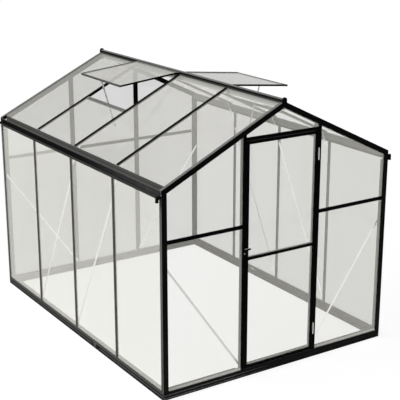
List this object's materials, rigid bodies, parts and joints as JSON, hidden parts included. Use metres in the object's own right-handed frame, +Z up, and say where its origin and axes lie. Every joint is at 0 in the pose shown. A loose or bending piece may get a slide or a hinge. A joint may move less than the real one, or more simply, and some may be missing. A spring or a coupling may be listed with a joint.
{
  "type": "polycarbonate greenhouse",
  "caption": "Walk-in garden greenhouse: black extruded aluminium frame, clear polycarbonate panes, pitched roof with open vents, hinged front door, grooved base rails and eave gutters.",
  "frame": {"origin": "middle of the plan at ground level, under the base rails", "axes": "+X to the right across the door gable, +Y from the door to the back, +Z up"},
  "size_m": [2.013, 2.636, 1.9789],
  "materials": {
    "black_frame": "satin powder coat",
    "clear_pane": "clear sheet with a light haze",
    "bare_aluminium": "mill finish",
    "black_plastic": "moulded, matt"
  },
  "bodies": {
    "frame": {"base_front_rail": "black_frame", "base_back_rail": "black_frame", "base_left_rail": "black_frame", "base_right_rail": "black_frame", "corner_posts": "black_frame", "left_wall_bars": "black_frame", "right_wall_bars": "black_frame", "left_eave_gutter": "black_frame", "right_eave_gutter": "black_frame", "gutter_outlets": "black_plastic", "ridge_beam": "black_frame", "ridge_end_caps": "black_plastic", "left_gable_rafters": "black_frame", "right_gable_rafters": "black_frame", "left_roof_bars": "black_frame", "right_roof_bars": "black_frame", "door_posts": "black_frame", "door_header": "black_frame", "front_gable_rails": "black_frame", "back_gable_posts": "black_frame", "back_gable_rails": "black_frame", "left_wall_panes": "clear_pane", "right_wall_panes": "clear_pane", "left_roof_panes": "clear_pane", "right_roof_panes": "clear_pane", "front_gable_panes": "clear_pane", "back_gable_panes": "clear_pane", "gable_braces": "bare_aluminium", "left_wall_braces": "bare_aluminium", "right_wall_braces": "bare_aluminium", "eave_braces": "bare_aluminium", "vent_hinge_bars": "black_frame", "vent_side_bars": "black_frame", "vent_bottom_bars": "black_frame", "vent_panes": "clear_pane", "vent_sills": "black_frame", "vent_stays": "bare_aluminium", "post_hinges": "bare_aluminium"},
    "door": {"door_stiles": "black_frame", "door_rails": "black_frame", "door_panes": "clear_pane", "door_hinges": "bare_aluminium", "handle_rose": "black_plastic"},
    "handle": {"door_handle": "black_plastic"}
  },
  "joints": [
    {"name": "door_swing", "type": "hinge", "parent": "frame", "child": "door", "pos_m": [0.3045, -1.3125, 0], "axis": [0, 0, 1], "range_deg": [0, 110]},
    {"name": "handle_turn", "type": "hinge", "parent": "door", "child": "handle", "pos_m": [-0.294, -1.3055, 0.962], "axis": [0, 1, 0], "range_deg": [0, 90]}
  ]
}
